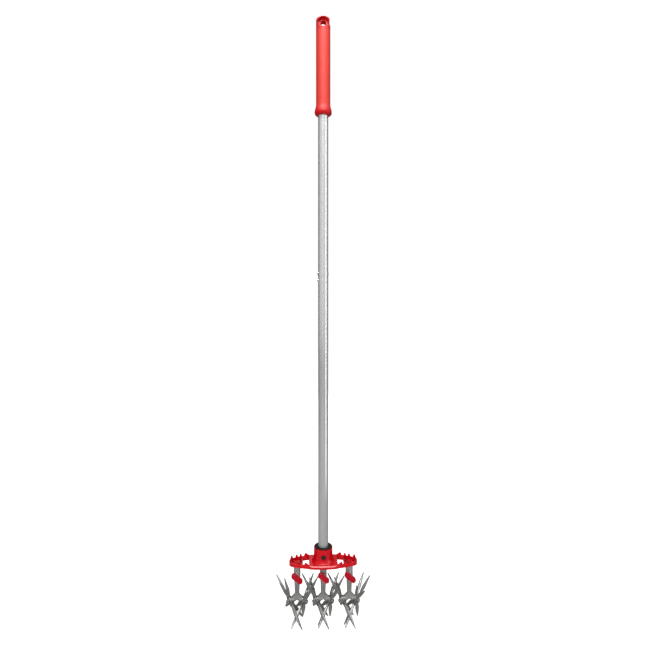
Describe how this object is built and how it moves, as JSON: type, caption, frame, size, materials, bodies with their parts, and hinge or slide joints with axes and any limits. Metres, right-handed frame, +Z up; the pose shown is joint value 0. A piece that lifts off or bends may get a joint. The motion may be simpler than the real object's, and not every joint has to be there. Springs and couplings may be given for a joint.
{
  "type": "rotary hand cultivator",
  "caption": "Long-handled rotary hand cultivator: a two-piece pole with a hanging grip over a toothed head frame whose removable carriers hold spinning star wheels in V pairs.",
  "frame": {"origin": "on the ground at the lowest tine tips, below the axis of the pole", "axes": "+Z up along the pole, +X to the right along the head frame, the lock knobs face -Y"},
  "size_m": [0.2158, 0.1265, 1.3715],
  "materials": {
    "grip_red": "smooth red moulded plastic with a soft sheen",
    "tube_silver": "semi-gloss silver-grey coated steel tube",
    "steel": "plain bright steel",
    "spring_steel": "oiled spring steel",
    "bushing_black": "black moulded bushing",
    "frame_red": "glossy red reinforced moulding",
    "knob_red": "glossy crimson moulding",
    "cast_grey": "grey die-cast metal, slightly dull",
    "star_steel": "mid-grey plated steel with a speckled cast skin",
    "bolt_black": "blackened steel",
    "hub_steel": "mid-grey plated steel"
  },
  "bodies": {
    "handle_and_head": {"grip": "grip_red", "upper_tube": "tube_silver", "lower_tube": "tube_silver", "tube_coupler": "steel", "upper_button_spring": "spring_steel", "lower_button_spring": "spring_steel", "tube_bushing": "bushing_black", "head_frame": "frame_red", "handle_bolt": "bolt_black", "handle_nut": "bolt_black", "left_carrier": "cast_grey", "left_lock_spring": "spring_steel", "centre_carrier": "cast_grey", "centre_lock_spring": "spring_steel", "right_carrier": "cast_grey", "right_lock_spring": "spring_steel", "left_pair_left_axle": "steel", "left_pair_right_axle": "steel", "centre_pair_left_axle": "steel", "centre_pair_right_axle": "steel", "right_pair_left_axle": "steel", "right_pair_right_axle": "steel", "axle_caps": "hub_steel"},
    "upper_button": {"upper_button": "steel"},
    "lower_button": {"lower_button": "steel"},
    "left_lock": {"left_lock_knob": "knob_red", "left_lock_pin": "steel"},
    "centre_lock": {"centre_lock_knob": "knob_red", "centre_lock_pin": "steel"},
    "right_lock": {"right_lock_knob": "knob_red", "right_lock_pin": "steel"},
    "left_pair_left_wheel": {"left_pair_left_hub": "hub_steel", "left_pair_left_outer_star": "star_steel", "left_pair_left_inner_star": "star_steel"},
    "left_pair_right_wheel": {"left_pair_right_hub": "hub_steel", "left_pair_right_outer_star": "star_steel", "left_pair_right_inner_star": "star_steel"},
    "centre_pair_left_wheel": {"centre_pair_left_hub": "hub_steel", "centre_pair_left_outer_star": "star_steel", "centre_pair_left_inner_star": "star_steel"},
    "centre_pair_right_wheel": {"centre_pair_right_hub": "hub_steel", "centre_pair_right_outer_star": "star_steel", "centre_pair_right_inner_star": "star_steel"},
    "right_pair_left_wheel": {"right_pair_left_hub": "hub_steel", "right_pair_left_outer_star": "star_steel", "right_pair_left_inner_star": "star_steel"},
    "right_pair_right_wheel": {"right_pair_right_hub": "hub_steel", "right_pair_right_outer_star": "star_steel", "right_pair_right_inner_star": "star_steel"}
  },
  "joints": [
    {"name": "upper_button_press", "type": "slide", "parent": "handle_and_head", "child": "upper_button", "axis": [1, 0, 0], "range_m": [0, 0.0022], "stiffness_N_per_m": 1500, "springref_m": -0.001, "deforming": ["upper_button_spring"]},
    {"name": "lower_button_press", "type": "slide", "parent": "handle_and_head", "child": "lower_button", "axis": [1, 0, 0], "range_m": [0, 0.0022], "stiffness_N_per_m": 1500, "springref_m": -0.001, "deforming": ["lower_button_spring"]},
    {"name": "left_lock_pull", "type": "slide", "parent": "handle_and_head", "child": "left_lock", "axis": [0, -1, 0], "range_m": [0, 0.006], "stiffness_N_per_m": 700, "springref_m": -0.002, "deforming": ["left_lock_spring"]},
    {"name": "centre_lock_pull", "type": "slide", "parent": "handle_and_head", "child": "centre_lock", "axis": [0, -1, 0], "range_m": [0, 0.006], "stiffness_N_per_m": 700, "springref_m": -0.002, "deforming": ["centre_lock_spring"]},
    {"name": "right_lock_pull", "type": "slide", "parent": "handle_and_head", "child": "right_lock", "axis": [0, -1, 0], "range_m": [0, 0.006], "stiffness_N_per_m": 700, "springref_m": -0.002, "deforming": ["right_lock_spring"]},
    {"name": "left_pair_left_spin", "type": "hinge", "parent": "handle_and_head", "child": "left_pair_left_wheel", "pos_m": [-0.0745, 0, 0.05775], "axis": [0.8764, 0.1076, 0.4695], "continuous": true},
    {"name": "left_pair_right_spin", "type": "hinge", "parent": "handle_and_head", "child": "left_pair_right_wheel", "pos_m": [-0.0435, 0, 0.05775], "axis": [0.8764, -0.1076, -0.4695], "continuous": true},
    {"name": "centre_pair_left_spin", "type": "hinge", "parent": "handle_and_head", "child": "centre_pair_left_wheel", "pos_m": [-0.0155, 0, 0.05775], "axis": [0.8764, 0.1076, 0.4695], "continuous": true},
    {"name": "centre_pair_right_spin", "type": "hinge", "parent": "handle_and_head", "child": "centre_pair_right_wheel", "pos_m": [0.0155, 0, 0.05775], "axis": [0.8764, -0.1076, -0.4695], "continuous": true},
    {"name": "right_pair_left_spin", "type": "hinge", "parent": "handle_and_head", "child": "right_pair_left_wheel", "pos_m": [0.0435, 0, 0.05775], "axis": [0.8764, 0.1076, 0.4695], "continuous": true},
    {"name": "right_pair_right_spin", "type": "hinge", "parent": "handle_and_head", "child": "right_pair_right_wheel", "pos_m": [0.0745, 0, 0.05775], "axis": [0.8764, -0.1076, -0.4695], "continuous": true}
  ],
  "couplings": [
    {"joint": "left_pair_left_spin", "follows": "centre_pair_left_spin", "ratio": 1},
    {"joint": "left_pair_right_spin", "follows": "centre_pair_left_spin", "ratio": 1},
    {"joint": "centre_pair_right_spin", "follows": "centre_pair_left_spin", "ratio": 1},
    {"joint": "right_pair_left_spin", "follows": "centre_pair_left_spin", "ratio": 1},
    {"joint": "right_pair_right_spin", "follows": "centre_pair_left_spin", "ratio": 1}
  ]
}
